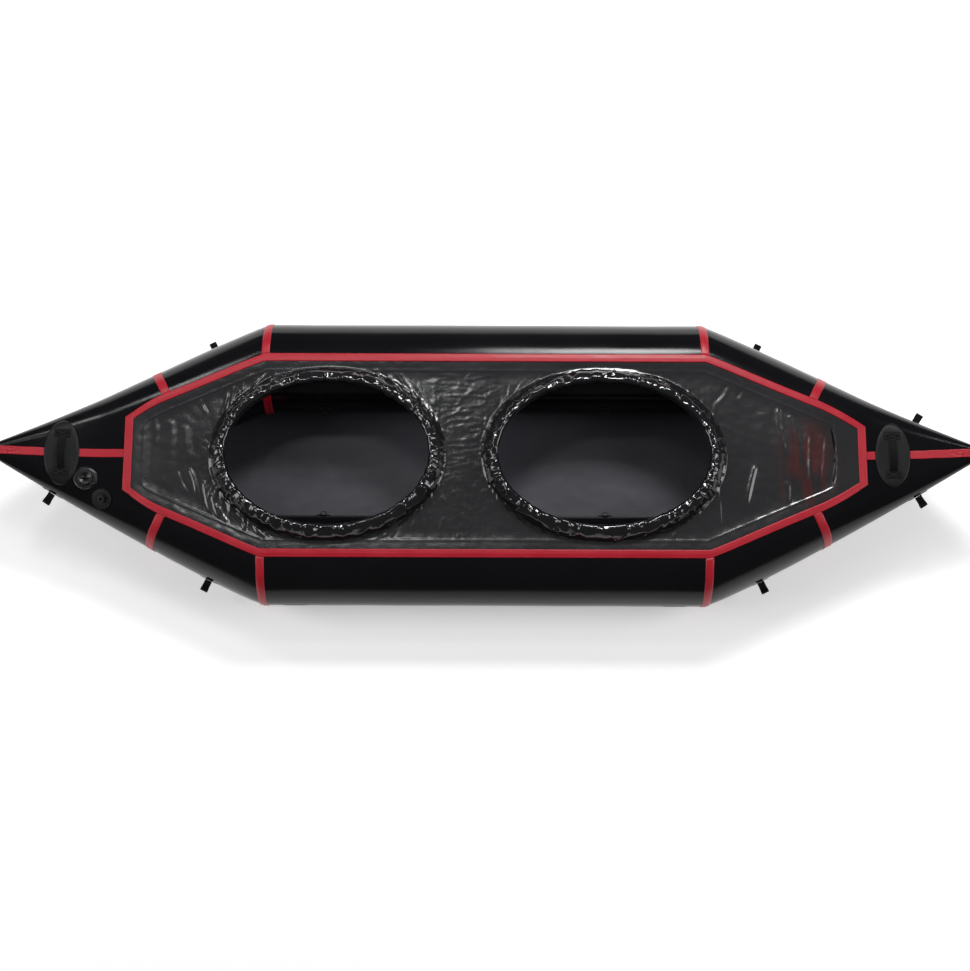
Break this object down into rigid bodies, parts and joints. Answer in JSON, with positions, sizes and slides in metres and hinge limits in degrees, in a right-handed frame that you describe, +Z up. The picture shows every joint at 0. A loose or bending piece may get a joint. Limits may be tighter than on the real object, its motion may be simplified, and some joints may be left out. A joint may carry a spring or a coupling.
{
  "type": "inflatable kayak",
  "caption": "Two-seat decked inflatable kayak with air tubes, floor, deck, two gathered coamings, grab handles, tie-down loops and valves.",
  "frame": {"origin": "under the middle of the hull, on the surface it stands on", "axes": "+X to the bow, +Y to port, +Z up"},
  "size_m": [3.2, 0.9582, 0.3574],
  "materials": {
    "tube_fabric": "coated, glossy black",
    "seam_tape": "coated, satin red",
    "deck_fabric": "coated, glossy dark grey",
    "floor_fabric": "coated, satin dark grey",
    "coaming_fabric": "coated, glossy black",
    "patch_fabric": "coated, satin black",
    "webbing": "woven black",
    "hoop_plastic": "extruded black",
    "valve_flange": "moulded, semi-gloss",
    "valve_plastic": "moulded black",
    "spring_steel": "drawn wire",
    "seal_rubber": "moulded rubber"
  },
  "bodies": {
    "hull": {"port_mid_tube": "tube_fabric", "starboard_mid_tube": "tube_fabric", "port_aft_tube": "tube_fabric", "starboard_aft_tube": "tube_fabric", "port_fore_tube": "tube_fabric", "starboard_fore_tube": "tube_fabric", "port_stern_cone": "tube_fabric", "starboard_stern_cone": "tube_fabric", "port_bow_cone": "tube_fabric", "starboard_bow_cone": "tube_fabric", "floor_sheet": "floor_fabric", "deck_sheet": "deck_fabric", "port_deck_tape": "seam_tape", "starboard_deck_tape": "seam_tape", "stern_deck_tape": "seam_tape", "bow_deck_tape": "seam_tape", "port_aft_tape": "seam_tape", "starboard_aft_tape": "seam_tape", "port_fore_tape": "seam_tape", "starboard_fore_tape": "seam_tape", "port_stern_tape": "seam_tape", "starboard_stern_tape": "seam_tape", "port_bow_tape": "seam_tape", "starboard_bow_tape": "seam_tape", "stern_centre_tape": "seam_tape", "bow_centre_tape": "seam_tape", "rear_coaming_sleeve": "coaming_fabric", "front_coaming_sleeve": "coaming_fabric", "rear_coaming_hoop": "hoop_plastic", "front_coaming_hoop": "hoop_plastic", "stern_handle_patch": "patch_fabric", "bow_handle_patch": "patch_fabric", "stern_handle_tabs": "webbing", "bow_handle_tabs": "webbing", "tie_down_patches": "patch_fabric", "rear_seat_anchors": "webbing", "front_seat_anchors": "webbing", "inflation_flange": "valve_flange", "inflation_neck": "valve_plastic", "inflation_spring": "spring_steel", "inflation_seal": "seal_rubber", "mouth_flange": "valve_flange", "mouth_body": "valve_plastic"},
    "cap_tether": {"inflation_tether": "valve_plastic"},
    "cap": {"inflation_cap": "valve_plastic"},
    "poppet": {"inflation_poppet": "valve_plastic"},
    "mouth_nozzle": {"mouth_nozzle": "valve_plastic"},
    "stern_handle": {"stern_handle_strap": "webbing"},
    "bow_handle": {"bow_handle_strap": "webbing"},
    "port_aft_loop": {"port_aft_loop": "webbing"},
    "port_fore_loop": {"port_fore_loop": "webbing"},
    "port_bow_loop": {"port_bow_loop": "webbing"},
    "starboard_aft_loop": {"starboard_aft_loop": "webbing"},
    "starboard_fore_loop": {"starboard_fore_loop": "webbing"},
    "starboard_bow_loop": {"starboard_bow_loop": "webbing"},
    "starboard_stern_loop": {"starboard_stern_loop": "webbing"}
  },
  "joints": [
    {"name": "inflation_cap_flip", "type": "hinge", "parent": "hull", "child": "cap_tether", "pos_m": [-1.27741, -0.10692, 0.311], "axis": [0.7044, 0.7071, -0.0616], "range_deg": [0, 110]},
    {"name": "inflation_cap_twist", "type": "hinge", "parent": "cap_tether", "child": "cap", "pos_m": [-1.29904, -0.085, 0.3153], "axis": [0.0872, 0, 0.9962], "range_deg": [0, 90]},
    {"name": "inflation_poppet_push", "type": "slide", "parent": "hull", "child": "poppet", "axis": [-0.0872, 0, -0.9962], "range_m": [0, 0.003], "stiffness_N_per_m": 300, "springref_m": -0.002, "deforming": ["inflation_spring"]},
    {"name": "mouth_nozzle_twist", "type": "hinge", "parent": "hull", "child": "mouth_nozzle", "pos_m": [-1.246, -0.15, 0.29543], "axis": [-0.1327, -0.3352, 0.9328], "range_deg": [0, 90]},
    {"name": "stern_handle_swing", "type": "hinge", "parent": "hull", "child": "stern_handle", "pos_m": [-1.37886, 0, 0.3245], "axis": [0, 1, 0], "range_deg": [-30, 30], "stiffness_Nm_per_rad": 0.05},
    {"name": "bow_handle_swing", "type": "hinge", "parent": "hull", "child": "bow_handle", "pos_m": [1.32911, 0, 0.3181], "axis": [0, 1, 0], "range_deg": [-30, 30], "stiffness_Nm_per_rad": 0.05},
    {"name": "port_aft_loop_flop", "type": "hinge", "parent": "hull", "child": "port_aft_loop", "pos_m": [-0.91638, 0.39285, 0.12626], "axis": [-0.8914, -0.4533, 0], "range_deg": [-40, 40], "stiffness_Nm_per_rad": 0.03},
    {"name": "port_fore_loop_flop", "type": "hinge", "parent": "hull", "child": "port_fore_loop", "pos_m": [0.91638, 0.39285, 0.12626], "axis": [0.8914, -0.4533, 0], "range_deg": [-40, 40], "stiffness_Nm_per_rad": 0.03},
    {"name": "port_bow_loop_flop", "type": "hinge", "parent": "hull", "child": "port_bow_loop", "pos_m": [1.42368, 0.12289, 0.23952], "axis": [0.8353, -0.5497, 0], "range_deg": [-40, 40], "stiffness_Nm_per_rad": 0.03},
    {"name": "starboard_aft_loop_flop", "type": "hinge", "parent": "hull", "child": "starboard_aft_loop", "pos_m": [-0.91638, -0.39285, 0.12626], "axis": [-0.8914, 0.4533, 0], "range_deg": [-40, 40], "stiffness_Nm_per_rad": 0.03},
    {"name": "starboard_fore_loop_flop", "type": "hinge", "parent": "hull", "child": "starboard_fore_loop", "pos_m": [0.91638, -0.39285, 0.12626], "axis": [0.8914, 0.4533, 0], "range_deg": [-40, 40], "stiffness_Nm_per_rad": 0.03},
    {"name": "starboard_bow_loop_flop", "type": "hinge", "parent": "hull", "child": "starboard_bow_loop", "pos_m": [1.42368, -0.12289, 0.23952], "axis": [0.8353, 0.5497, 0], "range_deg": [-40, 40], "stiffness_Nm_per_rad": 0.03},
    {"name": "starboard_stern_loop_flop", "type": "hinge", "parent": "hull", "child": "starboard_stern_loop", "pos_m": [-1.42368, -0.12289, 0.23952], "axis": [-0.8353, 0.5497, 0], "range_deg": [-40, 40], "stiffness_Nm_per_rad": 0.03}
  ]
}
